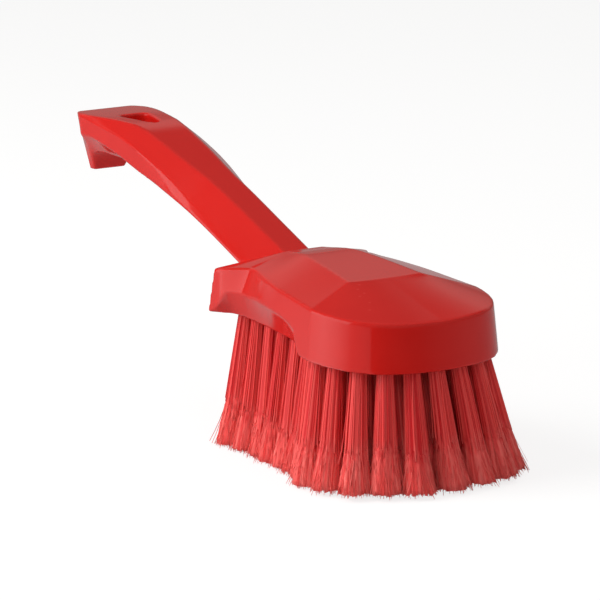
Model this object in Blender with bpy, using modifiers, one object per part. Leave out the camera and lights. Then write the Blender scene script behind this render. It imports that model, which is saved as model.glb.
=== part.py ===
"""Hand brush: a moulded block and handle in one piece, with filament tufts set in blind holes.

Metres, +Z up. The brush stands on its trimmed filament tips at Z = 0. +X points to the nose of
the block, the handle runs to -X, and the brush is symmetric about the plane Y = 0.
"""

from bisect import bisect_right
from math import cos, hypot, pi, radians, sin, tan

import bmesh
import bpy
from mathutils import Vector

# Whole brush
body_length = 0.270
nose_flare = 0.0055
tip_height = 0.1124

# Block, seen from below: its outline at the underside
block_length = 0.119
nose_width = 0.081
rear_width = 0.0736
nose_depth = 0.036
nose_corner_pull_shares = (0.70, 0.055)
nose_front_pull_share = 0.64

# Block, seen from the side: heights above the underside
nose_clearance = 0.0475
underside_tilt = radians(3.0)
nose_wall = 0.0192
corner_wall = 0.0204
ridge_peak = 0.0216
rear_wall = 0.0176
ridge_peak_setback = 0.097
wall_draft = 0.0018
waist_depth = 0.0070

# Pull-in of the ridge above each recess: share of the way from rear to nose corner, share of it
waist_shares = ((0.0, 0.0), (0.08, 0.12), (0.25, 1.0), (0.45, 0.52), (0.66, 0.16), (1.0, 0.0))

# Flat crown on top of the block, as setback from the nose, width and height
crown_front_setback = 0.043
crown_front_width = 0.0330
crown_front_rise = 0.0270
crown_middle_setback = 0.082
crown_middle_width = 0.0235
crown_middle_rise = 0.0280
crown_rear_setback = 0.104
crown_rear_width = 0.0160
crown_rear_rise = 0.0250

# Finger recess along each lower side of the block: pairs of share along it, share of its size
recess_depth = 0.0090
recess_rise = 0.0128
recess_rear_setback = 0.1185
recess_front_setback = 0.0410
recess_depth_shares = (
    (0.0, 0.0), (0.055, 0.43), (0.10, 0.80), (0.20, 0.97), (0.36, 1.0), (0.60, 1.0),
    (0.735, 0.89), (0.85, 0.44), (0.915, 0.17), (0.96, 0.04), (1.0, 0.0),
)
recess_rise_shares = (
    (0.0, 0.0), (0.06, 0.20), (0.10, 0.48), (0.135, 0.80), (0.21, 0.86), (0.31, 0.885),
    (0.44, 0.935), (0.56, 0.94), (0.68, 0.93), (0.776, 0.87), (0.865, 0.78), (0.884, 0.74),
    (0.894, 0.61), (0.917, 0.38), (0.965, 0.10), (1.0, 0.0),
)

# Handle, as an eight-sided section swept from its tip into the block
handle_width = 0.0340
handle_depth = 0.0166
handle_bury = 0.0200
handle_end_rise = 0.0192
lip_depth = 0.0258
lip_width = 0.0150
lip_thickness = 0.0045
edge_round = 0.0009

# Each handle curve lists pairs: share of the way from the tip, share of the size it follows
top_drop_shares = (
    (0.0, 0.025), (0.03, 0.018), (0.09, 0.008), (0.18, 0.0), (0.25, 0.006), (0.30, 0.035),
    (0.38, 0.121), (0.47, 0.236), (0.65, 0.472), (0.82, 0.726), (1.0, 1.0),
)
top_width_shares = (
    (0.0, 0.78), (0.055, 0.97), (0.10, 0.94), (0.20, 0.74), (0.30, 0.58), (0.47, 0.48),
    (0.60, 0.39), (1.0, 0.345),
)
wall_top_width_shares = ((0.0, 0.78), (0.055, 1.0), (0.35, 1.0), (0.60, 0.88), (1.0, 0.86))
wall_top_drop_shares = (
    (0.0, 0.045), (0.06, 0.07), (0.12, 0.15), (0.20, 0.24), (0.32, 0.345), (0.45, 0.38),
    (0.60, 0.53), (0.75, 0.57), (1.0, 0.57),
)
wall_foot_width_shares = ((0.0, 0.66), (0.026, 0.80), (0.06, 0.99), (0.10, 1.0), (1.0, 1.0))
wall_foot_drop_shares = (
    (0.0, 0.60), (0.04, 0.55), (0.09, 0.53), (0.20, 0.71), (0.32, 0.88), (0.45, 0.80),
    (0.60, 0.74), (1.0, 0.78),
)
sole_width_share = 0.62
sole_drop_share = 1.0
lip_sweep_shares = ((0.0, 0.0), (0.25, 0.55), (0.60, 0.90), (1.0, 1.0))
lip_sweep_length = 0.009

# Hanging hole through the flat end of the handle
hanger_setback = 0.0240
hanger_length = 0.0210
hanger_width = 0.0128
hanger_corner = 0.0032

# Filament tufts
tuft_diameter = 0.0062
tuft_depth = 0.0120
tuft_clearance = 0.0003
tuft_edge = 0.0067
recess_land = 0.0014
row_spacing = 0.0104
field_rear_setback = 0.1105
field_flare_setback = 0.0610
row_names = ("outer", "inner")
side_counts = (12, 9)
rear_counts = (3, 1)
spine_count = 7
spine_pairs = 2
strands_in_tuft = 8
strand_ring = 0.00185
strand_width = 0.0010
strand_tip_width = 0.0012
strand_bite = 0.0012
tip_spread = 0.0041
side_lean = 0.0145
lean_shares = ((0.0, 0.56), (0.30, 0.72), (0.60, 0.78), (0.86, 0.90), (1.0, 1.0))
fan_share = 0.6
fan_setback = 0.0400
nose_lean = 0.0100

# One overrun carries every cutter past the surface it cuts
overrun = 0.004

# How finely the block is divided round its outline
rear_steps = 3
side_steps = 26
nose_steps = 16

nose_x = (body_length - nose_flare) / 2
tip_x = -(body_length + nose_flare) / 2
rear_x = nose_x - block_length
corner_x = nose_x - nose_depth

plastic_look = dict(colour=(0.60, 0.026, 0.022, 1.0), roughness=0.38)
filament_look = dict(colour=(0.66, 0.038, 0.034, 1.0), roughness=0.48)


def underside(x):
    """Height of the underside, which climbs from the nose to the rear."""
    return nose_clearance + (nose_x - x) * tan(underside_tilt)


def smooth(pairs, at):
    """Smooth curve through (place, value) pairs, level where it turns."""
    places = [place for place, _ in pairs]
    values = [value for _, value in pairs]
    last = len(pairs) - 1
    i = min(max(bisect_right(places, at) - 1, 0), last - 1)
    steps = [(values[k + 1] - values[k]) / (places[k + 1] - places[k]) for k in range(last)]

    def slope(k):
        before, after = steps[max(k - 1, 0)], steps[min(k, last - 1)]
        return 2 * before * after / (before + after) if before * after > 0 else 0.0

    run = places[i + 1] - places[i]
    t = min(max((at - places[i]) / run, 0.0), 1.0)
    ends = (1 + 2 * t) * (1 - t) ** 2 * values[i] + t * t * (3 - 2 * t) * values[i + 1]
    return ends + run * (t * (1 - t) ** 2 * slope(i) - t * t * (1 - t) * slope(i + 1))


def between(start, end, share):
    return start + (end - start) * share


def eased(share):
    return share * share * (3 - 2 * share)


# Outlines in plan, on the side of negative Y


def nose_point(inset, share):
    """Point of the nose, from its side corner at share 0 to its front at share 1."""
    half = nose_width / 2 - inset
    depth = nose_depth - inset
    along, across = nose_corner_pull_shares
    pulls = (
        (0.0, -half),
        (along * depth, -half * (1 - across)),
        (depth, -half * nose_front_pull_share),
        (depth, 0.0),
    )
    rest = 1 - share
    weights = (rest**3, 3 * rest**2 * share, 3 * rest * share**2, share**3)
    x = sum(weight * pull[0] for weight, pull in zip(weights, pulls))
    y = sum(weight * pull[1] for weight, pull in zip(weights, pulls))
    return corner_x + x, y


def side_half_width(x, inset=0.0):
    """Half width of the underside between the rear and the nose corners."""
    share = (x - rear_x) / (corner_x - rear_x)
    return between(rear_width, nose_width, share**2) / 2 - inset


def ridge_rise(x):
    """Height of the side ridge above the underside, from the rear to the nose corner."""
    peak_x = nose_x - ridge_peak_setback
    if x < peak_x:
        return between(rear_wall, ridge_peak, (x - rear_x) / (peak_x - rear_x))
    return between(ridge_peak, corner_wall, (x - peak_x) / (corner_x - peak_x))


def ridge_half_width(x):
    """Half width of the ridge, pulled in at the waist."""
    share = (x - rear_x) / (corner_x - rear_x)
    return side_half_width(x, wall_draft + waist_depth * smooth(waist_shares, share))


def crown_point(share):
    """Edge of the crown, from its rear corner at share 0 to its front corner at share 1."""
    setbacks = (crown_rear_setback, crown_middle_setback, crown_front_setback)
    widths = (crown_rear_width, crown_middle_width, crown_front_width)
    rises = (crown_rear_rise, crown_middle_rise, crown_front_rise)
    middle_share = (setbacks[0] - setbacks[1]) / (setbacks[0] - setbacks[2])
    places = (0.0, middle_share, 1.0)
    x = nose_x - between(setbacks[0], setbacks[2], share)
    half = smooth(tuple(zip(places, widths)), share) / 2
    return Vector((x, -half, underside(x) + smooth(tuple(zip(places, rises)), share)))


# Meshes


def material(name, look):
    made = bpy.data.materials.new(name)
    made.use_nodes = True
    shader = made.node_tree.nodes["Principled BSDF"]
    shader.inputs["Base Color"].default_value = look["colour"]
    shader.inputs["Roughness"].default_value = look["roughness"]
    shader.inputs["Metallic"].default_value = 0.0
    made.diffuse_color = look["colour"]
    return made


def place(bm, name, collection, surface=None):
    """Closes off a bmesh as an object of this collection."""
    bmesh.ops.recalc_face_normals(bm, faces=bm.faces)
    mesh = bpy.data.meshes.new(name)
    bm.to_mesh(mesh)
    bm.free()
    mesh.shade_smooth()
    mesh.set_sharp_from_angle(angle=radians(25))
    made = bpy.data.objects.new(name, mesh)
    collection.objects.link(made)
    if surface:
        mesh.materials.append(surface)
    else:
        made.hide_render = True
        made.display_type = "WIRE"
    return made


def skin(bm, rings):
    """Joins neighbouring rings of points with faces, and gives the rings' vertices."""
    made = [[bm.verts.new(point) for point in ring] for ring in rings]
    for ring, following in zip(made, made[1:]):
        for i in range(len(ring)):
            k = (i + 1) % len(ring)
            bm.faces.new((ring[i], ring[k], following[k], following[i]))
    return made


def mirrored(half):
    """A ring from a half that starts and ends on the plane of symmetry."""
    return half + [Vector((p.x, -p.y, p.z)) for p in reversed(half[1:-1])]


def merged(bm, within):
    bmesh.ops.remove_doubles(bm, verts=bm.verts, dist=within)


def cut(target, cutter, operation="DIFFERENCE"):
    modifier = target.modifiers.new(operation.lower(), "BOOLEAN")
    modifier.operation = operation
    modifier.solver = "EXACT"
    modifier.object = cutter


def rounded(target, width):
    modifier = target.modifiers.new("edges", "BEVEL")
    modifier.width = width
    modifier.segments = 2
    modifier.limit_method = "ANGLE"
    modifier.angle_limit = radians(32)
    modifier.use_clamp_overlap = True


# Block


def side_places():
    """Stations along the side of the block, from its rear to the nose corner."""
    return [between(rear_x, corner_x, i / side_steps) for i in range(side_steps + 1)]


def block_halves():
    """Half outlines of the underside, of the ridge above it and of the crown, point by point."""
    foot, ridge, crown = [], [], []

    def add(x, y, rise, top_x, top_y, crown_at):
        foot.append(Vector((x, y, underside(x))))
        ridge.append(Vector((top_x, top_y, underside(top_x) + rise)))
        crown.append(crown_at)

    rear_crown = crown_point(0.0)
    for i in range(rear_steps):
        share = i / rear_steps
        top = Vector((rear_crown.x, rear_crown.y * share, rear_crown.z))
        half = ridge_half_width(rear_x) * share
        add(rear_x, -rear_width / 2 * share, rear_wall, rear_x + wall_draft, -half, top)
    peak_x = nose_x - ridge_peak_setback
    for x in side_places()[:-1]:
        top_x = max(x, rear_x + wall_draft)
        top = crown_point(max((x - peak_x) / (corner_x - peak_x), 0.0))
        add(x, -side_half_width(x), ridge_rise(top_x), top_x, -ridge_half_width(x), top)
    front_crown = crown_point(1.0)
    for i in range(nose_steps + 1):
        share = i / nose_steps
        top = Vector((front_crown.x, front_crown.y * (1 - share), front_crown.z))
        rise = between(corner_wall, nose_wall, share)
        add(*nose_point(0.0, share), rise, *nose_point(wall_draft, share), top)
    return foot, ridge, crown


def crown_lid(bm, ring):
    """Closes the crown with strips from side to side."""
    rows = {}
    for vert in ring:
        if vert.is_valid:
            rows.setdefault(round(vert.co.x / overrun, 2), []).append(vert)
    rows = [sorted(rows[at], key=lambda vert: vert.co.y) for at in sorted(rows)]
    for row, following in zip(rows, rows[1:]):
        bm.faces.new(row + following[::-1])


def make_block(collection, surface):
    bm = bmesh.new()
    foot, ridge, crown = (mirrored(half) for half in block_halves())
    rings = skin(bm, (foot, ridge, crown))
    bm.faces.new(rings[0])
    merged(bm, overrun / 1000)
    crown_lid(bm, rings[2])
    return place(bm, "block_and_handle", collection, surface)


def make_recess(collection, side):
    """Cutter for one recess: its slanting wall, carried past both edges and closed outside."""
    start = nose_x - recess_rear_setback
    end = nose_x - recess_front_setback
    outside = -nose_width / 2 - overrun
    pairs = []
    for x in [start] + [x for x in side_places() if start < x < end] + [end]:
        share = (x - start) / (end - start)
        rise = recess_rise * smooth(recess_rise_shares, share)
        inward = recess_depth * smooth(recess_depth_shares, share)
        half = side_half_width(x)
        lean = (half - ridge_half_width(x)) / ridge_rise(x)
        foot = Vector((x, inward - half, underside(x)))
        head = Vector((x, lean * rise - half, underside(x) + rise))
        pairs.append((foot, head))
    aims = [(head - foot).normalized() for foot, head in pairs[1:-1]]
    aims = [aims[0]] + aims + [aims[-1]]
    rings = []
    for (foot, head), aim in zip(pairs, aims):
        low, high = foot - aim * overrun, head + aim * overrun
        corners = ((low.y, low.z), (high.y, high.z), (outside, high.z), (outside, low.z))
        rings.append([Vector((foot.x, y * side, z)) for y, z in corners])
    bm = bmesh.new()
    made = skin(bm, rings)
    bm.faces.new(made[0])
    bm.faces.new(made[-1])
    name = "left_recess" if side > 0 else "right_recess"
    return place(bm, name, collection)


# Handle


def handle_ring(share):
    """Eight-sided section of the handle at this share of the way from its tip."""
    run = body_length - block_length + handle_bury
    half = handle_width / 2
    x = tip_x + run * share
    drop = tip_height - underside(tip_x + run) - handle_end_rise
    top = tip_height - drop * smooth(top_drop_shares, share)
    sole_drop = handle_depth * sole_drop_share
    sole_half = half * sole_width_share
    past_lip = (run * share - lip_thickness) / lip_sweep_length
    if past_lip < 1:
        swept = smooth(lip_sweep_shares, max(past_lip, 0.0))
        sole_drop = between(lip_depth, sole_drop, swept)
        sole_half = between(lip_width / 2, sole_half, swept)
    corners = (
        (half * smooth(top_width_shares, share), top),
        (half * smooth(wall_top_width_shares, share),
         top - handle_depth * smooth(wall_top_drop_shares, share)),
        (half * smooth(wall_foot_width_shares, share),
         top - handle_depth * smooth(wall_foot_drop_shares, share)),
        (sole_half, top - sole_drop),
    )
    left = [Vector((x, -y, z)) for y, z in corners]
    right = [Vector((x, y, z)) for y, z in reversed(corners)]
    return left + right


def make_handle(collection):
    lip_steps, body_steps = 9, 26
    lip_share = 0.125
    shares = [lip_share * i / lip_steps for i in range(lip_steps)]
    shares += [between(lip_share, 1.0, i / body_steps) for i in range(body_steps + 1)]
    bm = bmesh.new()
    rings = skin(bm, [handle_ring(share) for share in shares])
    bm.faces.new(rings[0])
    bm.faces.new(rings[-1])
    handle = place(bm, "handle", collection)
    rounded(handle, edge_round)
    return handle


def make_hanger(collection):
    """Cutter for the hanging hole: a triangle with rounded corners, its point to the block."""
    back = tip_x + hanger_setback + hanger_corner
    front = tip_x + hanger_setback + hanger_length - hanger_corner
    half = hanger_width / 2 - hanger_corner
    slant = pi / 2 - half / (front - back)
    centres = (
        (front, 0.0, -slant, slant),
        (back, half, slant, pi),
        (back, -half, pi, 2 * pi - slant),
    )
    steps = 6
    outline = []
    for x, y, start, end in centres:
        for i in range(steps + 1):
            angle = between(start, end, i / steps)
            outline.append((x + hanger_corner * cos(angle), y + hanger_corner * sin(angle)))
    bm = bmesh.new()
    low = tip_height - lip_depth - overrun
    high = tip_height + overrun
    rings = skin(bm, [[Vector((x, y, z)) for x, y in outline] for z in (low, high)])
    bm.faces.new(rings[0])
    bm.faces.new(rings[1])
    return place(bm, "hanging_hole", collection)


# Tufts


def row_path(row):
    """Half of a tuft row in plan, from the nose round to the rear, as close-set points."""
    inset = tuft_edge + row * row_spacing
    side_inset = recess_depth + recess_land + tuft_diameter / 2 + row * row_spacing
    rear = nose_x - field_rear_setback + row * row_spacing
    flare = nose_x - field_flare_setback
    steps = 40
    path = []
    for i in range(steps + 1):
        x, y = nose_point(0.0, 1 - i / steps)
        depth_share = (x - corner_x) / nose_depth
        width_share = y / nose_width
        path.append((corner_x + (nose_depth - inset) * depth_share, (nose_width - 2 * inset) * width_share))
    for i in range(1, steps + 1):
        share = i / steps
        x = between(corner_x, flare, share)
        path.append((x, -side_half_width(x, between(inset, side_inset, eased(share)))))
    path.append((rear, -side_half_width(rear, side_inset)))
    return path


def row_places(row):
    """Centres of a row's tufts in plan: evenly round both sides, then across the rear."""
    path = row_path(row)
    lengths = [0.0]
    for (ax, ay), (bx, by) in zip(path, path[1:]):
        lengths.append(lengths[-1] + hypot(bx - ax, by - ay))
    count = side_counts[row]
    places = [path[0]]
    for i in range(1, count + 1):
        goal = lengths[-1] * i / count
        k = min(max(bisect_right(lengths, goal), 1), len(path) - 1)
        share = (goal - lengths[k - 1]) / (lengths[k] - lengths[k - 1])
        x = between(path[k - 1][0], path[k][0], share)
        y = between(path[k - 1][1], path[k][1], share)
        places += [(x, y), (x, -y)]
    corner_y = path[-1][1]
    gaps = rear_counts[row] + 1
    return places + [(path[-1][0], corner_y * (2 * i / gaps - 1)) for i in range(1, gaps)]


def spine_places():
    """Centres of the tufts inside both rows: a line down the middle, flanked in the nose."""
    front = nose_x - tuft_edge - 2 * row_spacing
    rear = nose_x - field_rear_setback + 2 * row_spacing
    pitch = (front - rear) / (spine_count - 1)
    places = [(front - pitch * i, 0.0) for i in range(spine_count)]
    for pair in range(spine_pairs):
        x = front - pitch * (pair + 1 / 2)
        places += [(x, -row_spacing), (x, row_spacing)]
    return places


def tuft_roots():
    """Each tuft's name and the centre of its root on the underside."""
    groups = {name: row_places(row) for row, name in enumerate(row_names)}
    groups["spine"] = spine_places()
    roots = {}
    for group, places in groups.items():
        for i, (x, y) in enumerate(places):
            roots[f"{group}_tuft_{i + 1:02d}"] = Vector((x, y, underside(x)))
    return roots


def tip_of(root):
    """Where a tuft's middle meets the ground: square to the underside, fanned out to its edge."""
    ahead = max(root.x - (nose_x - fan_setback), 0.0)
    out = hypot(ahead, root.y)
    x = root.x - root.z * tan(underside_tilt)
    if out < overrun / 1000:
        return Vector((x, root.y, 0.0))
    most = side_lean * smooth(lean_shares, (root.x - rear_x) / block_length)
    x += ahead / out * min(out * fan_share, nose_lean)
    y = root.y + root.y / out * min(out * fan_share, most)
    return Vector((x, y, 0.0))


def add_plug(bm, root, radius, above, below):
    """Eight-sided plug round a tuft's axis, from above its root to below it."""
    axis = (root - tip_of(root)).normalized()
    turn = Vector((0.0, 0.0, 1.0)).rotation_difference(axis).to_matrix().to_4x4()
    turn.translation = root + axis * (above - below) / 2
    bmesh.ops.create_cone(
        bm, cap_ends=True, segments=8, radius1=radius, radius2=radius, depth=above + below, matrix=turn
    )


def add_strand(bm, root, tip, angle, ring, spread):
    """Four-sided strand from inside the plug down to the ground, where it is cut flat."""
    aim = Vector((cos(angle), sin(angle), 0.0))
    start = root + aim * ring
    start.z += strand_bite
    end = tip + aim * spread
    rings = []
    for centre, width in ((start, strand_width), (end, strand_tip_width)):
        corners = [angle + pi / 4 + pi / 2 * k for k in range(4)]
        reach = width * hypot(1, 1) / 2
        rings.append([centre + Vector((cos(c), sin(c), 0.0)) * reach for c in corners])
    made = skin(bm, rings)
    bm.faces.new(made[0])
    bm.faces.new(made[1])


def make_tuft(name, root, parts, cutters, surface):
    radius = tuft_diameter / 2 - tuft_clearance
    plug = bmesh.new()
    add_plug(plug, root, radius, tuft_depth - tuft_clearance, tuft_clearance)
    tuft = place(plug, name, parts, surface)
    strands = bmesh.new()
    tip = tip_of(root)
    add_strand(strands, root, tip, 0.0, 0.0, 0.0)
    around = strands_in_tuft - 1
    for i in range(around):
        add_strand(strands, root, tip, 2 * pi * i / around, strand_ring, tip_spread)
    cut(tuft, place(strands, name + "_strands", cutters), "UNION")


def make_holes(collection, roots):
    bm = bmesh.new()
    for root in roots:
        add_plug(bm, root, tuft_diameter / 2, tuft_depth, overrun)
    return place(bm, "tuft_holes", collection)


def main():
    for old in list(bpy.data.objects):
        bpy.data.objects.remove(old)
    parts = bpy.data.collections.new("hand_brush")
    cutters = bpy.data.collections.new("cutters")
    bpy.context.scene.collection.children.link(parts)
    bpy.context.scene.collection.children.link(cutters)
    plastic = material("red_plastic", plastic_look)
    filament = material("red_filament", filament_look)

    body = make_block(parts, plastic)
    rounded(body, edge_round)
    cut(body, make_handle(cutters), "UNION")
    cut(body, make_recess(cutters, 1))
    cut(body, make_recess(cutters, -1))
    cut(body, make_hanger(cutters))

    roots = tuft_roots()
    cut(body, make_holes(cutters, roots.values()))
    for name, root in roots.items():
        make_tuft(name, root, parts, cutters, filament)


if __name__ == "__main__":
    main()
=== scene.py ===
"""Looks of a red hand brush: a moulded block and handle, and 59 tufts of split filament.

Metres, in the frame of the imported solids. The shapes follow the same named sizes as the solids.
"""

from bisect import bisect_right
from math import cos, hypot, pi, radians, sin, tan

import bmesh
import bpy
import numpy as np
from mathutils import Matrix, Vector

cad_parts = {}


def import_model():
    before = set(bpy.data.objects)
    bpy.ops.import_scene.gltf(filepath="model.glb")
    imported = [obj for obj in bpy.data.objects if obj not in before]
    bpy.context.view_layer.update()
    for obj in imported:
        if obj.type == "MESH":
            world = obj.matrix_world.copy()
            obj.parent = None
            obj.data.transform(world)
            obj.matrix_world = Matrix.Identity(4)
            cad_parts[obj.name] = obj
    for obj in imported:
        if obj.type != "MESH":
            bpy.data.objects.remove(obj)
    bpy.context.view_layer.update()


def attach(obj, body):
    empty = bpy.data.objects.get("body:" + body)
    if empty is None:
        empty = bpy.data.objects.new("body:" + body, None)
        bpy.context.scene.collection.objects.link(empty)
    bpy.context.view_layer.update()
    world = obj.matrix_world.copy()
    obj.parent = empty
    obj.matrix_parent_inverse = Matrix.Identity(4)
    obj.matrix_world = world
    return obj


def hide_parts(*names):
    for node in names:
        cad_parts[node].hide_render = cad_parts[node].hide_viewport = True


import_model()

# Whole brush
body_length = 0.270
nose_flare = 0.0055
tip_height = 0.1124

# Block, seen from below: its outline at the underside
block_length = 0.119
nose_width = 0.081
rear_width = 0.0736
nose_depth = 0.036
nose_corner_pull_shares = (0.70, 0.055)
nose_front_pull_share = 0.64

# Block, seen from the side: where its underside is, and heights above that
nose_clearance = 0.0475
underside_tilt = radians(3.0)
nose_wall = 0.0192
corner_wall = 0.0204
ridge_peak = 0.0216
rear_wall = 0.0176
ridge_peak_setback = 0.097
wall_draft = 0.0018
waist_depth = 0.0070

# Pull-in of the ridge above each recess: share of the way from rear to nose corner, share of it
waist_shares = ((0.0, 0.0), (0.08, 0.12), (0.25, 1.0), (0.45, 0.52), (0.66, 0.16), (1.0, 0.0))

# Flat crown on top of the block, as setback from the nose, width and height
crown_front_setback = 0.043
crown_front_width = 0.0330
crown_front_rise = 0.0270
crown_middle_setback = 0.082
crown_middle_width = 0.0235
crown_middle_rise = 0.0280
crown_rear_setback = 0.104
crown_rear_width = 0.0160
crown_rear_rise = 0.0250

# Finger recess along each lower side of the block: pairs of share along it, share of its size
recess_depth = 0.0090
recess_rise = 0.0128
recess_rear_setback = 0.1185
recess_front_setback = 0.0410
recess_depth_shares = (
    (0.0, 0.0), (0.055, 0.43), (0.10, 0.80), (0.20, 0.97), (0.36, 1.0), (0.60, 1.0),
    (0.735, 0.89), (0.85, 0.44), (0.915, 0.17), (0.96, 0.04), (1.0, 0.0),
)
recess_rise_shares = (
    (0.0, 0.0), (0.06, 0.20), (0.10, 0.48), (0.135, 0.80), (0.21, 0.86), (0.31, 0.885),
    (0.44, 0.935), (0.56, 0.94), (0.68, 0.93), (0.776, 0.87), (0.865, 0.78), (0.884, 0.74),
    (0.894, 0.61), (0.917, 0.38), (0.965, 0.10), (1.0, 0.0),
)

# Handle, as an eight-sided section swept from its tip into the block
handle_width = 0.0340
handle_depth = 0.0166
handle_bury = 0.0200
handle_end_rise = 0.0192
lip_depth = 0.0258
lip_width = 0.0150
lip_thickness = 0.0045

# Each handle curve lists pairs: share of the way from the tip, share of the size it follows
top_drop_shares = (
    (0.0, 0.025), (0.03, 0.018), (0.09, 0.008), (0.18, 0.0), (0.25, 0.006), (0.30, 0.035),
    (0.38, 0.121), (0.47, 0.236), (0.65, 0.472), (0.82, 0.726), (1.0, 1.0),
)
top_width_shares = (
    (0.0, 0.78), (0.055, 0.97), (0.10, 0.94), (0.20, 0.74), (0.30, 0.58), (0.47, 0.48),
    (0.60, 0.39), (1.0, 0.345),
)
wall_top_width_shares = ((0.0, 0.78), (0.055, 1.0), (0.35, 1.0), (0.60, 0.88), (1.0, 0.86))
wall_top_drop_shares = (
    (0.0, 0.045), (0.06, 0.07), (0.12, 0.15), (0.20, 0.24), (0.32, 0.345), (0.45, 0.38),
    (0.60, 0.53), (0.75, 0.57), (1.0, 0.57),
)
wall_foot_width_shares = ((0.0, 0.66), (0.026, 0.80), (0.06, 0.99), (0.10, 1.0), (1.0, 1.0))
wall_foot_drop_shares = (
    (0.0, 0.60), (0.04, 0.55), (0.09, 0.53), (0.20, 0.71), (0.32, 0.88), (0.45, 0.80),
    (0.60, 0.74), (1.0, 0.78),
)
sole_width_share = 0.62
sole_drop_share = 1.0
lip_sweep_shares = ((0.0, 0.0), (0.25, 0.55), (0.60, 0.90), (1.0, 1.0))
lip_sweep_length = 0.009

# Hanging hole through the flat end of the handle
hanger_setback = 0.0240
hanger_length = 0.0210
hanger_width = 0.0128
hanger_corner = 0.0032

# Filament tufts
tuft_diameter = 0.0062
tuft_depth = 0.0120
hole_sides = 20
tuft_edge = 0.0067
recess_land = 0.0014
row_spacing = 0.0104
field_rear_setback = 0.1105
field_flare_setback = 0.0610
row_names = ("outer", "inner")
side_counts = (12, 9)
rear_counts = (3, 1)
spine_count = 7
spine_pairs = 2
side_lean = 0.0145
lean_shares = ((0.0, 0.56), (0.30, 0.72), (0.60, 0.78), (0.86, 0.90), (1.0, 1.0))
fan_share = 0.6
fan_setback = 0.0400
nose_lean = 0.0100

# One overrun carries every cutter past the surface it cuts, and points nearer than the weld are one
overrun = 0.004
weld = overrun / 1000

# How finely the block is divided round its outline
rear_steps = 4
side_steps = 84
nose_steps = 56

nose_x = (body_length - nose_flare) / 2
tip_x = -(body_length + nose_flare) / 2
rear_x = nose_x - block_length
corner_x = nose_x - nose_depth


def underside(x):
    """Height of the underside, which climbs from the nose to the rear."""
    return nose_clearance + (nose_x - x) * tan(underside_tilt)


def smooth(pairs, at):
    """Smooth curve through (place, value) pairs, level where it turns."""
    places, values = zip(*pairs)
    last = len(pairs) - 1
    i = min(max(bisect_right(places, at) - 1, 0), last - 1)
    steps = [(values[k + 1] - values[k]) / (places[k + 1] - places[k]) for k in range(last)]

    def slope(k):
        before, after = steps[max(k - 1, 0)], steps[min(k, last - 1)]
        return 2 * before * after / (before + after) if before * after > 0 else 0.0

    run = places[i + 1] - places[i]
    t = min(max((at - places[i]) / run, 0.0), 1.0)
    ends = (1 + 2 * t) * (1 - t) ** 2 * values[i] + t * t * (3 - 2 * t) * values[i + 1]
    return ends + run * (t * (1 - t) ** 2 * slope(i) - t * t * (1 - t) * slope(i + 1))


def between(start, end, share):
    return start + (end - start) * share


def eased(share):
    return share * share * (3 - 2 * share)


def nose_point(inset, share):
    """Point of the nose, from its side corner at share 0 to its front at share 1."""
    half = nose_width / 2 - inset
    depth = nose_depth - inset
    along, across = nose_corner_pull_shares
    pulls = (
        (0.0, -half),
        (along * depth, -half * (1 - across)),
        (depth, -half * nose_front_pull_share),
        (depth, 0.0),
    )
    rest = 1 - share
    weights = (rest**3, 3 * rest**2 * share, 3 * rest * share**2, share**3)
    x = sum(weight * pull[0] for weight, pull in zip(weights, pulls))
    y = sum(weight * pull[1] for weight, pull in zip(weights, pulls))
    return corner_x + x, y


def side_half_width(x, inset=0.0):
    """Half width of the underside between the rear and the nose corners."""
    share = (x - rear_x) / (corner_x - rear_x)
    return between(rear_width, nose_width, share**2) / 2 - inset


def ridge_rise(x):
    """Height of the side ridge above the underside, from the rear to the nose corner."""
    peak_x = nose_x - ridge_peak_setback
    if x < peak_x:
        return between(rear_wall, ridge_peak, (x - rear_x) / (peak_x - rear_x))
    return between(ridge_peak, corner_wall, (x - peak_x) / (corner_x - peak_x))


def ridge_half_width(x):
    """Half width of the ridge, pulled in at the waist."""
    share = (x - rear_x) / (corner_x - rear_x)
    return side_half_width(x, wall_draft + waist_depth * smooth(waist_shares, share))


def crown_point(share):
    """Edge of the crown, from its rear corner at share 0 to its front corner at share 1."""
    setbacks = (crown_rear_setback, crown_middle_setback, crown_front_setback)
    widths = (crown_rear_width, crown_middle_width, crown_front_width)
    rises = (crown_rear_rise, crown_middle_rise, crown_front_rise)
    middle_share = (setbacks[0] - setbacks[1]) / (setbacks[0] - setbacks[2])
    places = (0.0, middle_share, 1.0)
    x = nose_x - between(setbacks[0], setbacks[2], share)
    half = smooth(tuple(zip(places, widths)), share) / 2
    return Vector((x, -half, underside(x) + smooth(tuple(zip(places, rises)), share)))


# Meshes


def place(bm, name):
    """Closes off a bmesh as an object of the scene."""
    bmesh.ops.recalc_face_normals(bm, faces=bm.faces)
    mesh = bpy.data.meshes.new(name)
    bm.to_mesh(mesh)
    bm.free()
    made = bpy.data.objects.new(name, mesh)
    bpy.context.scene.collection.objects.link(made)
    return made


def combine(target, cutter, operation):
    """Joins or cuts the target with the cutter, and removes the cutter."""
    modifier = target.modifiers.new("combine", "BOOLEAN")
    modifier.operation = operation
    modifier.solver = "EXACT"
    modifier.object = cutter
    settle(target)
    bpy.data.objects.remove(cutter)


def settle(target):
    """Replaces an object's mesh by the one its modifiers make."""
    graph = bpy.context.evaluated_depsgraph_get()
    made = bpy.data.meshes.new_from_object(target.evaluated_get(graph), depsgraph=graph)
    target.modifiers.clear()
    target.data = made


def skin(bm, rings):
    """Joins neighbouring rings of points with faces, and gives the rings' vertices."""
    made = [[bm.verts.new(point) for point in ring] for ring in rings]
    for ring, following in zip(made, made[1:]):
        for i in range(len(ring)):
            k = (i + 1) % len(ring)
            bm.faces.new((ring[i], ring[k], following[k], following[i]))
    return made


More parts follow.
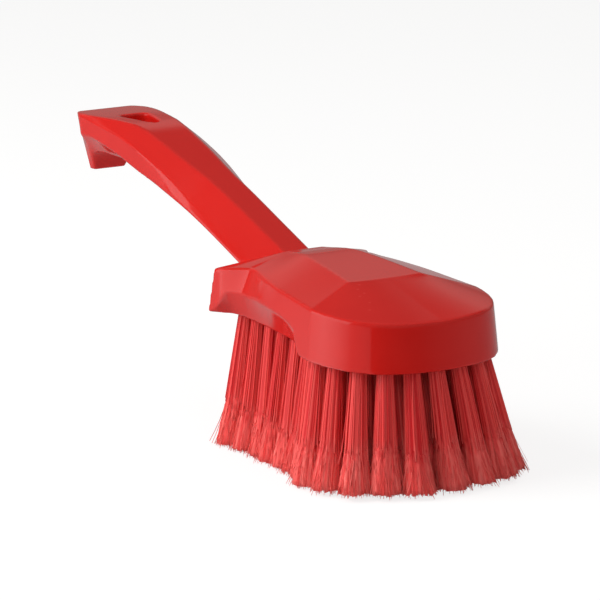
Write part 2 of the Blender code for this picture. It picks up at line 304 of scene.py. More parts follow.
def mirrored(half):
    """A ring from a half that starts and ends on the plane of symmetry."""
    return half + [Vector((p.x, -p.y, p.z)) for p in reversed(half[1:-1])]


def side_places():
    """Stations along the side of the block, from its rear to the nose corner."""
    return [between(rear_x, corner_x, i / side_steps) for i in range(side_steps + 1)]


def block_halves():
    """Half outlines of the underside, of the ridge above it and of the crown, point by point."""
    foot, ridge, crown = [], [], []

    def add(x, y, rise, top_x, top_y, crown_at):
        foot.append(Vector((x, y, underside(x))))
        ridge.append(Vector((top_x, top_y, underside(top_x) + rise)))
        crown.append(crown_at)

    rear_crown = crown_point(0.0)
    for i in range(rear_steps):
        share = i / rear_steps
        top = Vector((rear_crown.x, rear_crown.y * share, rear_crown.z))
        half = ridge_half_width(rear_x) * share
        add(rear_x, -rear_width / 2 * share, rear_wall, rear_x + wall_draft, -half, top)
    peak_x = nose_x - ridge_peak_setback
    for x in side_places()[:-1]:
        top_x = max(x, rear_x + wall_draft)
        top = crown_point(max((x - peak_x) / (corner_x - peak_x), 0.0))
        add(x, -side_half_width(x), ridge_rise(top_x), top_x, -ridge_half_width(x), top)
    front_crown = crown_point(1.0)
    for i in range(nose_steps + 1):
        share = i / nose_steps
        top = Vector((front_crown.x, front_crown.y * (1 - share), front_crown.z))
        rise = between(corner_wall, nose_wall, share)
        add(*nose_point(0.0, share), rise, *nose_point(wall_draft, share), top)
    return foot, ridge, crown


def crown_lid(bm, ring):
    """Closes the crown with strips from side to side."""
    rows = {}
    for vert in ring:
        if vert.is_valid:
            rows.setdefault(round(vert.co.x / overrun, 2), []).append(vert)
    rows = [sorted(rows[at], key=lambda vert: vert.co.y) for at in sorted(rows)]
    for row, following in zip(rows, rows[1:]):
        bm.faces.new(row + following[::-1])


def make_recess(side):
    """Cutter for one recess: its slanting wall, carried past both edges and closed outside."""
    start = nose_x - recess_rear_setback
    end = nose_x - recess_front_setback
    outside = -nose_width / 2 - overrun
    pairs = []
    for x in [start] + [x for x in side_places() if start < x < end] + [end]:
        share = (x - start) / (end - start)
        rise = recess_rise * smooth(recess_rise_shares, share)
        inward = recess_depth * smooth(recess_depth_shares, share)
        half = side_half_width(x)
        lean = (half - ridge_half_width(x)) / ridge_rise(x)
        foot = Vector((x, inward - half, underside(x)))
        head = Vector((x, lean * rise - half, underside(x) + rise))
        pairs.append((foot, head))
    aims = [(head - foot).normalized() for foot, head in pairs[1:-1]]
    aims = [aims[0]] + aims + [aims[-1]]
    rings = []
    for (foot, head), aim in zip(pairs, aims):
        low, high = foot - aim * overrun, head + aim * overrun
        corners = ((low.y, low.z), (high.y, high.z), (outside, high.z), (outside, low.z))
        rings.append([Vector((foot.x, y * side, z)) for y, z in corners])
    bm = bmesh.new()
    made = skin(bm, rings)
    bm.faces.new(made[0])
    bm.faces.new(made[-1])
    return place(bm, "recess")


def handle_ring(share):
    """Eight-sided section of the handle at this share of the way from its tip."""
    run = body_length - block_length + handle_bury
    half = handle_width / 2
    x = tip_x + run * share
    drop = tip_height - underside(tip_x + run) - handle_end_rise
    top = tip_height - drop * smooth(top_drop_shares, share)
    sole_drop = handle_depth * sole_drop_share
    sole_half = half * sole_width_share
    past_lip = (run * share - lip_thickness) / lip_sweep_length
    if past_lip < 1:
        swept = smooth(lip_sweep_shares, max(past_lip, 0.0))
        sole_drop = between(lip_depth, sole_drop, swept)
        sole_half = between(lip_width / 2, sole_half, swept)
    corners = (
        (half * smooth(top_width_shares, share), top),
        (half * smooth(wall_top_width_shares, share),
         top - handle_depth * smooth(wall_top_drop_shares, share)),
        (half * smooth(wall_foot_width_shares, share),
         top - handle_depth * smooth(wall_foot_drop_shares, share)),
        (sole_half, top - sole_drop),
    )
    left = [Vector((x, -y, z)) for y, z in corners]
    right = [Vector((x, y, z)) for y, z in reversed(corners)]
    return left + right


def make_handle():
    lip_steps, body_steps = 24, 90
    lip_share = 0.125
    shares = [lip_share * i / lip_steps for i in range(lip_steps)]
    shares += [between(lip_share, 1.0, i / body_steps) for i in range(body_steps + 1)]
    bm = bmesh.new()
    rings = skin(bm, [handle_ring(share) for share in shares])
    bm.faces.new(rings[0])
    bm.faces.new(rings[-1])
    return place(bm, "handle")


def make_hanger():
    """Cutter for the hanging hole: a triangle with rounded corners, its point to the block."""
    back = tip_x + hanger_setback + hanger_corner
    front = tip_x + hanger_setback + hanger_length - hanger_corner
    half = hanger_width / 2 - hanger_corner
    slant = pi / 2 - half / (front - back)
    centres = (
        (front, 0.0, -slant, slant),
        (back, half, slant, pi),
        (back, -half, pi, 2 * pi - slant),
    )
    steps = 12
    outline = []
    for x, y, start, end in centres:
        for i in range(steps + 1):
            angle = between(start, end, i / steps)
            outline.append((x + hanger_corner * cos(angle), y + hanger_corner * sin(angle)))
    bm = bmesh.new()
    low = tip_height - lip_depth - overrun
    high = tip_height + overrun
    rings = skin(bm, [[Vector((x, y, z)) for x, y in outline] for z in (low, high)])
    bm.faces.new(rings[0])
    bm.faces.new(rings[1])
    return place(bm, "hanger")


def row_path(row):
    """Half of a tuft row in plan, from the nose round to the rear, as close-set points."""
    inset = tuft_edge + row * row_spacing
    side_inset = recess_depth + recess_land + tuft_diameter / 2 + row * row_spacing
    rear = nose_x - field_rear_setback + row * row_spacing
    flare = nose_x - field_flare_setback
    steps = 40
    path = []
    for i in range(steps + 1):
        x, y = nose_point(0.0, 1 - i / steps)
        depth_share = (x - corner_x) / nose_depth
        width_share = y / nose_width
        ahead = (nose_depth - inset) * depth_share
        path.append((corner_x + ahead, (nose_width - 2 * inset) * width_share))
    for i in range(1, steps + 1):
        share = i / steps
        x = between(corner_x, flare, share)
        path.append((x, -side_half_width(x, between(inset, side_inset, eased(share)))))
    path.append((rear, -side_half_width(rear, side_inset)))
    return path


def row_places(row):
    """Centres of a row's tufts in plan: evenly round both sides, then across the rear."""
    path = row_path(row)
    lengths = [0.0]
    for (ax, ay), (bx, by) in zip(path, path[1:]):
        lengths.append(lengths[-1] + hypot(bx - ax, by - ay))
    count = side_counts[row]
    places = [path[0]]
    for i in range(1, count + 1):
        goal = lengths[-1] * i / count
        k = min(max(bisect_right(lengths, goal), 1), len(path) - 1)
        share = (goal - lengths[k - 1]) / (lengths[k] - lengths[k - 1])
        x = between(path[k - 1][0], path[k][0], share)
        y = between(path[k - 1][1], path[k][1], share)
        places += [(x, y), (x, -y)]
    corner_y = path[-1][1]
    gaps = rear_counts[row] + 1
    return places + [(path[-1][0], corner_y * (2 * i / gaps - 1)) for i in range(1, gaps)]


def spine_places():
    """Centres of the tufts inside both rows: a line down the middle, flanked in the nose."""
    front = nose_x - tuft_edge - 2 * row_spacing
    rear = nose_x - field_rear_setback + 2 * row_spacing
    pitch = (front - rear) / (spine_count - 1)
    places = [(front - pitch * i, 0.0) for i in range(spine_count)]
    for pair in range(spine_pairs):
        x = front - pitch * (pair + 1 / 2)
        places += [(x, -row_spacing), (x, row_spacing)]
    return places


def tuft_roots():
    """Each tuft's name and the centre of its root on the underside."""
    groups = {name: row_places(row) for row, name in enumerate(row_names)}
    groups["spine"] = spine_places()
    roots = {}
    for group, places in groups.items():
        for i, (x, y) in enumerate(places):
            roots[f"{group}_tuft_{i + 1:02d}"] = Vector((x, y, underside(x)))
    return roots


def tip_of(root):
    """Where a tuft's middle meets the ground: square to the underside, fanned out to its edge."""
    ahead = max(root.x - (nose_x - fan_setback), 0.0)
    out = hypot(ahead, root.y)
    x = root.x - root.z * tan(underside_tilt)
    if out < weld:
        return Vector((x, root.y, 0.0))
    most = side_lean * smooth(lean_shares, (root.x - rear_x) / block_length)
    x += ahead / out * min(out * fan_share, nose_lean)
    y = root.y + root.y / out * min(out * fan_share, most)
    return Vector((x, y, 0.0))


def add_plug(bm, root, radius, above, below):
    """Round plug round a tuft's axis, from above its root to below it."""
    axis = (root - tip_of(root)).normalized()
    turn = Vector((0.0, 0.0, 1.0)).rotation_difference(axis).to_matrix().to_4x4()
    turn.translation = root + axis * (above - below) / 2
    bmesh.ops.create_cone(
        bm, cap_ends=True, segments=hole_sides, radius1=radius, radius2=radius,
        depth=above + below, matrix=turn,
    )


# Body, softened by rebuilding it in small cells and easing them a few times

voxel = 0.0005
edge_passes = 12


def make_body():
    """The moulded body, with every edge softened as a mould leaves it."""
    bm = bmesh.new()
    foot, ridge, crown = (mirrored(half) for half in block_halves())
    rings = skin(bm, (foot, ridge, crown))
    bm.faces.new(rings[0])
    bmesh.ops.remove_doubles(bm, verts=bm.verts, dist=weld)
    crown_lid(bm, rings[2])
    body = place(bm, "moulded_body")
    combine(body, make_handle(), "UNION")
    combine(body, make_recess(1), "DIFFERENCE")
    combine(body, make_recess(-1), "DIFFERENCE")
    combine(body, make_hanger(), "DIFFERENCE")
    holes = bmesh.new()
    for root in tuft_roots().values():
        add_plug(holes, root, tuft_diameter / 2, tuft_depth, overrun)
    combine(body, place(holes, "holes"), "DIFFERENCE")
    soften = body.modifiers.new("soften", "REMESH")
    soften.mode = "VOXEL"
    soften.voxel_size = voxel
    relax = body.modifiers.new("relax", "SMOOTH")
    relax.factor = 0.5
    relax.iterations = edge_passes
    settle(body)
    body.data.shade_smooth()
    return body


# Filaments: a tuft is one grooved rod of packed strands, loose strands on it, and split ends

# The tuft's radius at its root and tip, how much wider it grows where it is split, how far these
# stray from tuft to tuft, and how deep it starts in its hole
bundle_radius = 0.0029
tip_radius = 0.0054
splay = 0.0012
width_stray = 0.06
tip_stray = 0.0005
sink_depth = 0.0030

# Where the tips rest: swept forward, less splayed than the solids' and lifted where they lean
upright_lean = 0.0070
trim_share = 2.4
forward_lean = 0.0062
forward_shares = ((0.0, 0.80), (0.45, 1.10), (0.80, 1.05), (0.90, 0.66), (1.0, 0.34))
inward_shares = ((0.0, 0.0), (0.30, 0.30), (0.80, 0.32), (1.0, 0.10))

# Length of the split part, and how its paleness sets in: rate, least and spread from strand to strand
flag_length = 0.0168
flag_stray = 0.0007
flag_onset = 10
flag_least = 0.55
flag_spread = 0.045
hair_flag_lead = 0.08

# Packed strands: the rod's rings, its grooves and how ragged it is where it is split
heart_strands = 46
heart_groove = 0.075
heart_setback = 0.0006
shaft_rings = 9
flag_rings = 6
shaft_stop = 0.08
flag_start = 0.10
fray_steps = np.array((-0.045, -0.025, -0.008, 0.008, 0.025, 0.045, 0.07))
fray_start = 0.03
crest_stray = 0.032
fray_reach = 0.030
fray_turn = 0.022
trim_stray = 0.006

# Loose strands, a few of them astray
loose_strands = 34
strand_width = 0.00046
strand_width_stray = 0.10
strand_steps = 8
strand_end_stray = 0.03
strand_reach_stray = 0.035
strand_drift = 0.10
astray_share = 0.06
astray_reach = (0.10, 0.70)

# Split ends
hairs_in_tuft = 230
hair_width = 0.00032
hair_width_stray = 0.15
hair_taper = 0.4
hair_steps = 4
hair_start = (-0.24, 0.55)
hair_crowding = 0.22
hair_spread = 0.0015
hair_spread_limit = 2
hair_flatness = 6
hair_bend = 1.4
hair_curl = 0.0003
hair_end = -0.0001
hair_end_stray = 0.0004
hair_end_limits = (-0.001, 0.0009)

# Shades of strand, each with a column of its own in the baked picture: the share of it left free on
# either side, and the half width and half height of the patch that a tube's end takes there
tint_steps = 16
column_margin = 0.1
end_patch = (0.4, 0.01)

rng = np.random.default_rng(20)


def resting_tip(root):
    """Where the filaments of a tuft end: swept forward, less splayed, and raised as they lean."""
    tip = tip_of(root)
    along = (root.x - rear_x) / block_length
    x = tip.x + forward_lean * smooth(forward_shares, along)
    y = tip.y + (root.y - tip.y) * smooth(inward_shares, along)
    lean = hypot(x - root.x, y - root.y)
    lift = max(lean * lean - upright_lean * upright_lean, 0.0) / root.z / 2 * trim_share
    return np.array((x, y, lift))


class Bundle:
    """One tuft's straight middle line and its width, for placing strands in it."""

    def __init__(self, root, tip):
        root, stray = np.array(root), rng.normal(0, tip_stray, 2)
        self.end = tip + (*stray, 0.0)
        self.start = root + (root - self.end) / np.linalg.norm(root - self.end) * sink_depth
        self.length = np.linalg.norm(self.end - self.start)
        self.split = 1 - (flag_length + rng.normal(0, flag_stray)) / self.length
        self.wide = rng.normal(1.0, width_stray)

    def at(self, turn, reach, share):
        """Points at this turn, reach (0 middle, 1 skin) and share of the length, as arrays."""
        frayed = np.clip((share - self.split) / (1 - self.split), 0, 1)
        width = bundle_radius + (tip_radius * self.wide - bundle_radius) * share + splay * frayed
        radius = width * reach
        out = np.stack((np.cos(turn), np.sin(turn), np.zeros_like(turn)), axis=-1)
        return self.start + (self.end - self.start) * share[..., None] + out * radius[..., None]

    def flags(self, share, late):
        """How split strands are at a share of the length, starting this much late."""
        past = (share - self.split - late) / (1 - self.split)
        paleness = flag_least + (1 - flag_least) * np.clip(past, 0, 1)
        return np.clip(past * flag_onset, 0, 1) * paleness


def grid(shape, sides):
    """Corner numbers of the faces round each of (count, rings) closed tubes, and of their ends."""
    count, rings = shape
    index = np.arange(count * rings * sides).reshape(count, rings, sides)
    after = np.roll(index, -1, axis=2)
    quads = np.stack((index[:, :-1], after[:, :-1], after[:, 1:], index[:, 1:]), axis=-1)
    return quads.reshape(-1, 4), np.concatenate((index[:, 0, ::-1], index[:, -1]))


def bake_places(share, columns, left, width):
    """Place in the baked picture of each face corner of such tubes: column by tint, height by length."""
    count, rings = share.shape
    sides = len(left)
    shape = (count, rings - 1, sides)
    used = 1 - 2 * column_margin
    near = np.broadcast_to((columns[:, None] + column_margin + used * left) / tint_steps, shape)
    far = near + used * width / tint_steps
    low = np.broadcast_to(share[:, :-1, None], shape)
    high = np.broadcast_to(share[:, 1:, None], shape)
    sheet = np.stack((near, far, far, near, low, low, high, high), axis=-1)
    sheet = sheet.reshape(-1, 2, 4).swapaxes(1, 2)
    turn = np.arange(sides) * 2 * pi / sides
    middle = (np.concatenate((columns[:, :1], columns[:, :1])) + 0.5) / tint_steps
    ends = np.concatenate((share[:, 0], share[:, -1]))[:, None]
    across, along = end_patch
    caps = np.stack((middle + across / tint_steps * np.cos(turn), ends + along * np.sin(turn)), axis=-1)
    return np.clip(np.concatenate((sheet.reshape(-1, 2), caps.reshape(-1, 2))), 0.0, 1.0)


def tubes(paths, widths, sides):
    """Vertices of closed tubes along paths (count, points, 3)."""
    along = np.gradient(paths, axis=1)
    along /= np.linalg.norm(along, axis=2, keepdims=True)
    first = np.cross(along, np.array([1.0, 0.0, 0.0]))
    first /= np.linalg.norm(first, axis=2, keepdims=True)
    second = np.cross(along, first)
    turns = rng.uniform(0, 2 * pi, (len(paths), 1, 1)) + np.arange(sides) * 2 * pi / sides
    radius = widths[:, :, None, None] / 2
    across = np.cos(turns)[..., None] * first[:, :, None] + np.sin(turns)[..., None] * second[:, :, None]
    return paths[:, :, None] + radius * across


def heart(bundle):
    """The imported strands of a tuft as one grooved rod, ragged where they are split."""
    sides = heart_strands * 2
    stop = 1 - heart_setback / bundle.length
    shaft = np.linspace(0, bundle.split - shaft_stop, shaft_rings)
    flag = np.linspace(bundle.split + flag_start, stop, flag_rings)
    share = np.concatenate((shaft, bundle.split + fray_steps, flag))
    frayed = (share > bundle.split - fray_start)[:, None]
    crest = np.repeat(rng.normal(1.0, crest_stray, heart_strands), 2)
    groove = np.tile((0.0, heart_groove), heart_strands)
    reach = crest - groove + rng.normal(0, fray_reach, (len(share), sides)) * frayed
    even = np.arange(sides) * 2 * pi / sides
    turn = even + rng.normal(0, fray_turn, (len(share), sides)) * frayed
    height = np.repeat(share[:, None], sides, axis=1)
    height[-1] += np.repeat(rng.normal(0, trim_stray, heart_strands), 2)
    verts = bundle.at(turn, reach, height)
    verts[..., 2] = np.maximum(verts[..., 2], hair_width)
    tint = np.repeat(rng.integers(0, tint_steps, heart_strands), 2)
    return verts[None], share[None], tint[None]


def loose(bundle):
    """Single strands lying on the skin of a tuft, as far as their split ends."""
    one_each = (loose_strands, 1)
    turn = rng.uniform(0, 2 * pi, one_each)
    steps = np.linspace(0, 1, strand_steps + 1)[None]
    share = steps * (bundle.split + rng.normal(0, strand_end_stray, one_each))
    astray = (rng.random(one_each) < astray_share) * rng.uniform(*astray_reach, one_each)
    reach = rng.normal(1.0, strand_reach_stray, one_each) + astray * share ** 2
    drift = rng.normal(0, strand_drift, one_each) * np.sin(pi * share)
    return bundle.at(turn + drift, reach, share), share


def hairs(bundle):
    """The fine split ends: they start near where the strands split, and fan out to the tips."""
    one_each = (hairs_in_tuft, 1)
    turn = rng.uniform(0, 2 * pi, one_each)
    reach = np.broadcast_to(rng.random(one_each) ** hair_crowding, (hairs_in_tuft, hair_steps + 1))
    begin = bundle.split + (1 - bundle.split) * rng.uniform(*hair_start, one_each)
    trim = rng.normal(hair_end, hair_end_stray, one_each).clip(*hair_end_limits)
    finish = 1 + trim / bundle.length
    t = np.linspace(0, 1, hair_steps + 1)[None]
    share = begin + (finish - begin) * t
    line = bundle.at(np.broadcast_to(turn, share.shape), reach, share)
    away = rng.normal(0, 1, (*one_each, 3)).clip(-hair_spread_limit, hair_spread_limit)
    away = away * (hair_spread, hair_spread, hair_spread / hair_flatness)
    curl = rng.normal(0, hair_curl, (*one_each, 3))
    line = line + away * (t ** hair_bend)[..., None] + curl * np.sin(pi * t)[..., None]
    line[..., 2] = np.maximum(line[..., 2], hair_width)
    return line, share, t


def tuft_parts(bundle):
    """Vertices, shares of the length, tints and late starts of the rod, the strands and the hairs."""
    core, core_share, core_tint = heart(bundle)
    strand_line, strand_share = loose(bundle)
    hair_line, hair_share, t = hairs(bundle)
    strand_stray = rng.normal(1, strand_width_stray, (loose_strands, 1))
    strand_widths = np.full(strand_line.shape[:2], strand_width) * strand_stray
    hair_widths = hair_width * (1 - hair_taper * t) * rng.normal(1, hair_width_stray, (hairs_in_tuft, 1))
    strands = tubes(strand_line, strand_widths, 4)
    strand_tint = rng.integers(0, tint_steps, (loose_strands, 1))
    ends = tubes(hair_line, hair_widths, 3)
    end_tint = rng.integers(0, tint_steps, (hairs_in_tuft, 1))
    core_late = np.repeat(rng.normal(0, flag_spread, heart_strands), 2)
    return (
        (core, core_share, core_tint, core_late, 2),
        (strands, strand_share, strand_tint, np.full(4, -hair_flag_lead), 4),
        (ends, hair_share, end_tint, np.full(3, -hair_flag_lead), 3),
    )


def make_tuft(name, root, tip):
    """One tuft as a mesh, with its tints and split parts as attributes, and a map to bake it by."""
    bundle = Bundle(root, tip)
    verts, faces, places, tints, flags = [], [], [], [], []
    behind = 0
    for points, share, tint, late, sides_in_column in tuft_parts(bundle):
        sides = points.shape[2]
        quads, caps = grid(points.shape[:2], sides)
        faces += [quads + behind, caps + behind]
        behind += points.size // 3
        verts.append(points.reshape(-1, 3))
        columns = np.broadcast_to(tint, (len(points), sides))
        shades = np.broadcast_to((columns[:, None] + 0.5) / tint_steps, points.shape[:3])
        tints.append(shades.reshape(-1))
        flags.append(bundle.flags(share[..., None], late).reshape(-1))
        left = np.arange(sides) % sides_in_column / sides_in_column
        places.append(bake_places(share, columns, left, 1 / sides_in_column))
    corners = np.concatenate([f.reshape(-1) for f in faces])
    sizes = np.concatenate([np.full(len(f), f.shape[1]) for f in faces])
    starts = np.concatenate(([0], np.cumsum(sizes)[:-1]))
    mesh = bpy.data.meshes.new(name)
    mesh.vertices.add(behind)
    mesh.vertices.foreach_set("co", np.concatenate(verts).astype(np.float32).reshape(-1))
    mesh.loops.add(len(corners))
    mesh.loops.foreach_set("vertex_index", corners.astype(np.int32))
    mesh.polygons.add(len(sizes))
    mesh.polygons.foreach_set("loop_start", starts.astype(np.int32))
    mesh.update(calc_edges=True)
    for key, values in (("tint", tints), ("flag", flags)):
        layer = mesh.attributes.new(key, "FLOAT", "POINT")
        layer.data.foreach_set("value", np.concatenate(values).astype(np.float32))
    baked = mesh.uv_layers.new(name="OFBake")
    baked.data.foreach_set("uv", np.concatenate(places).astype(np.float32).reshape(-1))
    mesh.validate()
    mesh.shade_smooth()
    made = bpy.data.objects.new(name, mesh)
    bpy.context.scene.collection.objects.link(made)
    return made


# Materials


def node(tree, kind, **values):
    """A node of this kind, with its inputs or settings of these names."""
    made = tree.nodes.new(kind)
    for key, value in values.items():
        if key in made.inputs:
            made.inputs[key].default_value = value
        else:
            setattr(made, key, value)
    return made


def ranged(tree, value, source, target):
    """A value carried from one range to another, and held at its ends."""
    made = node(tree, "ShaderNodeMapRange")
    for key, end in zip(("From Min", "From Max", "To Min", "To Max"), (*source, *target)):
        made.inputs[key].default_value = end
    tree.links.new(value, made.inputs["Value"])
    return made.outputs["Result"]


def blend(tree, share, first, second):
    """Two colours mixed by a share, each of them a constant or a socket."""
    made = node(tree, "ShaderNodeMix", data_type="RGBA")
    tree.links.new(share, made.inputs[0])
    for socket, colour in ((made.inputs[6], first), (made.inputs[7], second)):
        if isinstance(colour, tuple):
            socket.default_value = (*colour, 1.0)
        else:
            tree.links.new(colour, socket)
    return made.outputs[2]


def noise(tree, place_in, **values):
    made = node(tree, "ShaderNodeTexNoise", **values)
    tree.links.new(place_in, made.inputs["Vector"])
    return made.outputs["Fac"]


def bump(tree, height, strength, distance):
    made = node(tree, "ShaderNodeBump", Strength=strength, Distance=distance)
    tree.links.new(height, made.inputs["Height"])
    return made


def plastic():
    """Satin moulded plastic: fine grain, patches of polish, faint scuffs and painted highlights on its
    rims.
    """
    look = bpy.data.materials.new("red_moulded_plastic")
    look.use_nodes = True
    tree = look.node_tree
    link = tree.links.new
    shader = tree.nodes["Principled BSDF"]
    shader.inputs["IOR"].default_value = 1.49
    place_in = node(tree, "ShaderNodeTexCoord").outputs["Object"]

    cloud = noise(tree, place_in, Scale=38.0, Detail=3.0, Roughness=0.55)
    tone = blend(tree, cloud, (0.610, 0.0110, 0.0085), (0.660, 0.0140, 0.0100))
    # Convex rims are painted a paler pink: a painted highlight standing in for sheen on the rounded
    # edges
    rim_pointiness = node(tree, "ShaderNodeNewGeometry").outputs["Pointiness"]
    edge = ranged(tree, rim_pointiness, (0.53, 0.62), (0.0, 0.35))
    link(blend(tree, edge, tone, (0.74, 0.050, 0.045)), shader.inputs["Base Color"])

    stretched = node(tree, "ShaderNodeMapping", Scale=(30.0, 420.0, 300.0), Rotation=(0.3, 0.2, 0.5))
    link(place_in, stretched.inputs["Vector"])
    scuffs = noise(tree, stretched.outputs["Vector"], Scale=1.0, Detail=4.0, Roughness=0.7)
    rough = node(tree, "ShaderNodeMath", operation="ADD")
    link(ranged(tree, cloud, (0.3, 0.7), (0.09, 0.13)), rough.inputs[0])
    link(ranged(tree, scuffs, (0.60, 0.78), (0.0, 0.07)), rough.inputs[1])
    link(rough.outputs[0], shader.inputs["Roughness"])

    swell = noise(tree, place_in, Scale=110.0, Detail=1.0, Roughness=0.4)
    grain = noise(tree, place_in, Scale=2600.0, Detail=2.0, Roughness=0.6)
    low = bump(tree, swell, 0.10, 0.00008)
    fine = bump(tree, grain, 0.12, 0.00002)
    link(low.outputs["Normal"], fine.inputs["Normal"])
    link(fine.outputs["Normal"], shader.inputs["Normal"])
    return look


def filament():
    """Polyester filament: each strand a little different, partly as painted highlight and shade, paler
    and duller where split.
    """
    look = bpy.data.materials.new("red_split_filament")
    look.use_nodes = True
    tree = look.node_tree
    link = tree.links.new
    shader = tree.nodes["Principled BSDF"]
    shader.inputs["IOR"].default_value = 1.45
    shader.inputs["Specular IOR Level"].default_value = 0.4
    tint = node(tree, "ShaderNodeAttribute", attribute_name="tint").outputs["Fac"]
    flag = node(tree, "ShaderNodeAttribute", attribute_name="flag").outputs["Fac"]
    place_in = node(tree, "ShaderNodeTexCoord").outputs["Object"]

    # Each strand's tone is random; the range is widened so that pale pink strands are painted highlight
    # streaks and deep red ones painted shade
    shaft = blend(tree, tint, (0.66, 0.008, 0.014), (1.00, 0.105, 0.095))
    ends = blend(tree, tint, (0.92, 0.078, 0.072), (1.00, 0.205, 0.182))
    link(blend(tree, flag, shaft, ends), shader.inputs["Base Color"])
    link(ranged(tree, flag, (0.0, 1.0), (0.36, 0.58)), shader.inputs["Roughness"])
    ripple = noise(tree, place_in, Scale=900.0, Detail=1.0)
    link(bump(tree, ripple, 0.3, 0.00004).outputs["Normal"], shader.inputs["Normal"])
    return look


# Stage

# What gloss sees of the floor all round the block, as pairs: azimuth in degrees, glow
floor_levels = (
    (-180, 0.46), (-170, 0.44), (-160, 0.36), (-138, 0.80), (-120, 1.55), (-104, 1.30),
    (-82, 0.50), (-49.6, 0.46), (-48.4, 0.00), (-26, 0.00), (14, 0.05), (48, 0.30),
    (101, 0.40), (144, 0.42), (166, 0.30), (180, 0.46),
)
floor_middle = (0.10, 0.0, 0.0)
floor_radius = 6.0
floor_sides = 64

# Greys of the floor: what it lends to the light on the brush, and what the camera sees, which is a
# part that takes the shadow and a part that glows
floor_grey = (0.84, 0.84, 0.84, 1.0)
shadow_grey = (0.26, 0.26, 0.26, 1.0)
camera_glow = 0.80
white = (1.0, 1.0, 1.0, 1.0)

# The studio round the brush, as pairs: rise of the way to it, glow
sky_levels = (
    (0.0, 0.18), (0.12, 0.26), (0.20, 0.16), (0.33, 0.31), (0.46, 0.44), (0.58, 0.12),
    (0.75, 0.22), (1.0, 0.34),
)

# Red, green and blue in the glow of both
warmth = (1.0, 0.96, 0.90)

lamp_aim = Vector((0.0, 0.0, 0.05))

# The photograph: its width and focal length in pixels, and where it was taken from
photo_pixels = 600
focal_pixels = 4750.7
film_width = 36.0
camera_azimuth = radians(31.1)
camera_elevation = radians(12.2)
camera_roll = radians(-0.5)
camera_distance = 1.9357
camera_target = Vector((0.01225, 0.0072, 0.0530))


def stepped(tree, levels):
    """A ramp through the given (place, glow) pairs, a little warm."""
    made = node(tree, "ShaderNodeValToRGB")
    stops = made.color_ramp.elements
    stops.remove(stops[1])
    for i, (place_on, glow) in enumerate(levels):
        stop = stops[0] if i == 0 else stops.new(place_on)
        stop.position = place_on
        stop.color = (*(glow * share for share in warmth), 1.0)
    return made


def either(tree, fact, otherwise, then):
    """One shader where a fact about the ray holds, and another where it doesn't."""
    made = node(tree, "ShaderNodeMixShader")
    tree.links.new(node(tree, "ShaderNodeLightPath").outputs[fact], made.inputs["Fac"])
    tree.links.new(otherwise.outputs[0], made.inputs[1])
    tree.links.new(then.outputs[0], made.inputs[2])
    return made


def floor():
    """Pale plain floor: white for the camera but for a soft shadow, and uneven where gloss sees it."""
    bm = bmesh.new()
    bmesh.ops.create_circle(bm, cap_ends=True, radius=floor_radius, segments=floor_sides)
    made = place(bm, "floor")
    look = bpy.data.materials.new("pale_floor")
    look.use_nodes = True
    tree = look.node_tree
    link = tree.links.new
    tree.nodes.remove(tree.nodes["Principled BSDF"])
    table = node(tree, "ShaderNodeBsdfDiffuse", Color=floor_grey)

    shadowed = node(tree, "ShaderNodeBsdfDiffuse", Color=shadow_grey)
    glow = node(tree, "ShaderNodeEmission", Color=white, Strength=camera_glow)
    seen = node(tree, "ShaderNodeAddShader")
    link(shadowed.outputs[0], seen.inputs[0])
    link(glow.outputs[0], seen.inputs[1])

    spot = node(tree, "ShaderNodeTexCoord").outputs["Object"]
    apart = node(tree, "ShaderNodeVectorMath", operation="SUBTRACT")
    apart.inputs[1].default_value = floor_middle
    link(spot, apart.inputs[0])
    round_it = node(tree, "ShaderNodeTexGradient", gradient_type="RADIAL")
    link(apart.outputs[0], round_it.inputs["Vector"])
    level = stepped(tree, [(azimuth / 360 + 0.5, glow) for azimuth, glow in floor_levels])
    link(round_it.outputs["Fac"], level.inputs["Fac"])
    gloss = node(tree, "ShaderNodeEmission", Color=white)
    link(level.outputs["Color"], gloss.inputs["Strength"])

    other = either(tree, "Is Glossy Ray", table, gloss)
    pick = either(tree, "Is Camera Ray", other, seen)
    link(pick.outputs[0], tree.nodes["Material Output"].inputs["Surface"])
    made.data.materials.append(look)


def world():
    """White for the camera; for light, a dim studio, uneven from the floor up."""
    made = bpy.data.worlds.new("studio")
    bpy.context.scene.world = made
    made.use_nodes = True
    tree = made.node_tree
    link = tree.links.new
    back = tree.nodes["Background"]
    way = node(tree, "ShaderNodeTexCoord").outputs["Generated"]
    split = node(tree, "ShaderNodeSeparateXYZ")
    link(way, split.inputs[0])
    level = stepped(tree, sky_levels)
    link(split.outputs["Z"], level.inputs["Fac"])
    link(level.outputs["Color"], back.inputs["Color"])
    back.inputs["Strength"].default_value = 1.0
    seen = node(tree, "ShaderNodeBackground", Color=white, Strength=1.0)
    pick = either(tree, "Is Camera Ray", back, seen)
    link(pick.outputs[0], tree.nodes["World Output"].inputs["Surface"])


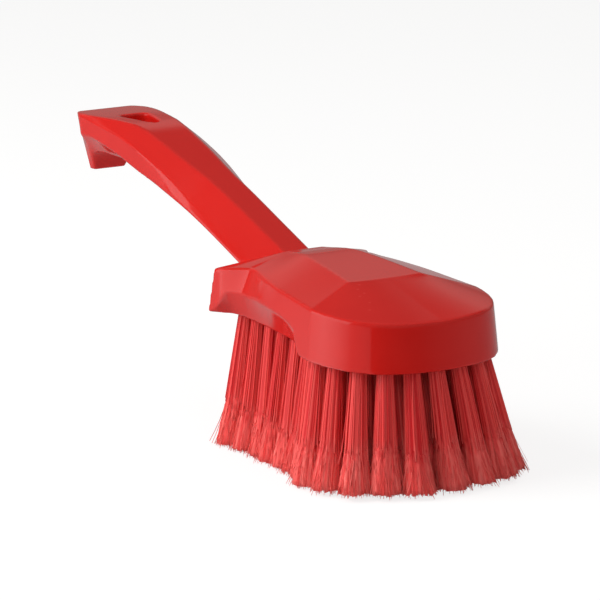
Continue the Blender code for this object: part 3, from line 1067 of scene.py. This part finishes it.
def lamp(name, at, size, strength, mirrored_in_gloss):
    """A rectangular softbox at a place, facing the brush, of this width, height and strength."""
    data = bpy.data.lights.new(name, "AREA")
    data.shape = "RECTANGLE"
    data.size, data.size_y = size
    data.energy = strength * size[0] * size[1] * pi
    made = bpy.data.objects.new(name, data)
    made.location = at
    made.rotation_euler = (lamp_aim - Vector(at)).to_track_quat("-Z", "Y").to_euler()
    made.visible_glossy = mirrored_in_gloss
    bpy.context.scene.collection.objects.link(made)


def camera():
    """The camera of the photograph, whose azimuth runs from +X towards -Y."""
    level = cos(camera_elevation)
    back = Vector((level * cos(camera_azimuth), -level * sin(camera_azimuth), sin(camera_elevation)))
    right = (-back).cross(Vector((0.0, 0.0, 1.0))).normalized()
    up = right.cross(-back)
    side = right * cos(camera_roll) + up * sin(camera_roll)
    top = up * cos(camera_roll) - right * sin(camera_roll)
    data = bpy.data.cameras.new("photo_camera")
    data.sensor_width = film_width
    data.lens = focal_pixels / photo_pixels * film_width
    data.clip_end = 30.0
    made = bpy.data.objects.new("photo_camera", data)
    made.location = camera_target + back * camera_distance
    turn = made.matrix_world.copy()
    for i, axis in enumerate((side, top, back)):
        for k in range(3):
            turn[k][i] = axis[k]
    made.rotation_euler = turn.to_euler()
    bpy.context.scene.collection.objects.link(made)
    bpy.context.scene.camera = made


def main():
    bpy.context.scene.view_settings.view_transform = "Standard"
    body = make_body()
    body.data.materials.clear()
    body.data.materials.append(plastic())
    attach(body, "root")
    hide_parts("block_and_handle")
    strand = filament()
    for name, root in tuft_roots().items():
        tuft = make_tuft(name + "_filaments", root, resting_tip(root))
        tuft.data.materials.append(strand)
        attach(tuft, "root")
        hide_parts(name)
    floor()
    world()
    lamp("softbox", (-0.464, -1.276, 0.389), (1.6, 0.75), 1.30, True)
    lamp("high_side", (-0.355, -1.093, 1.014), (1.0, 1.0), 4.8, False)
    lamp("nose_fill", (1.05, -0.45, 0.95), (0.7, 0.7), 1.4, False)
    lamp("overhead", (0.0, 0.3, 1.5), (1.4, 1.4), 0.75, False)
    camera()


main()
